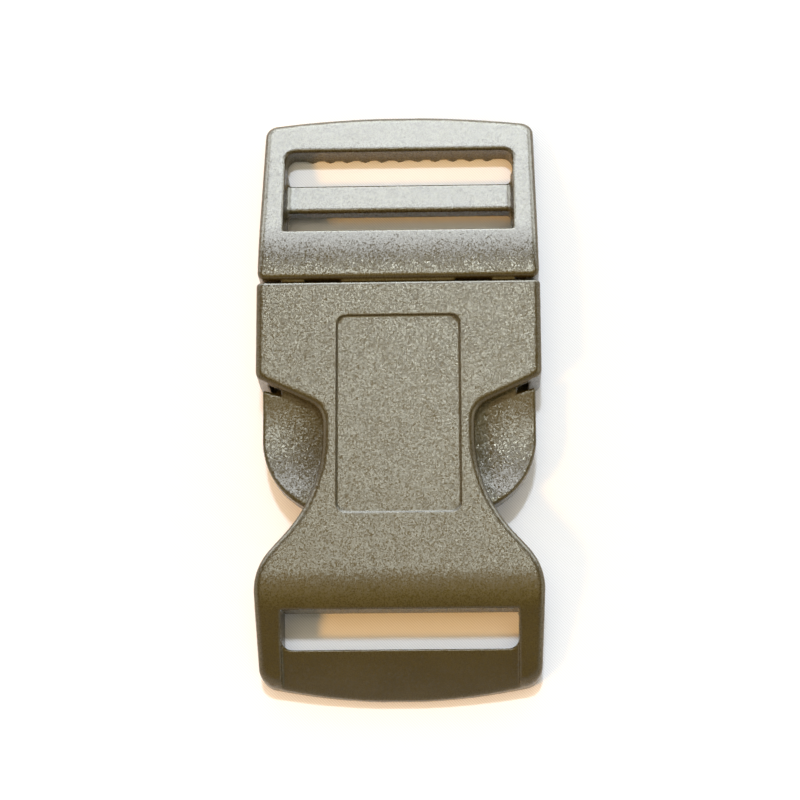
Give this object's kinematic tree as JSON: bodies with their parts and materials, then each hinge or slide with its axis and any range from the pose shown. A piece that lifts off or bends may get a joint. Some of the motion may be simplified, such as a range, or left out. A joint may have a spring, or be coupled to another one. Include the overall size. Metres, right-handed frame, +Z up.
{
  "type": "side release buckle",
  "caption": "Fastened side release buckle for 25 mm webbing: a socket with a strap bar, and a ladder-frame latch whose two spring arms end in thumb buttons.",
  "frame": {"origin": "middle of the length and width, on the surface that the buckle lies on", "axes": "+X across the webbing, +Y along the webbing towards the latch's strap end, +Z up out of the surface"},
  "size_m": [0.0328, 0.0702, 0.0092],
  "materials": {
    "moulded_plastic": "olive drab moulded plastic with a fine spark-eroded grain that glints"
  },
  "bodies": {
    "root": {"socket": "moulded_plastic", "latch": "moulded_plastic"}
  },
  "joints": []
}
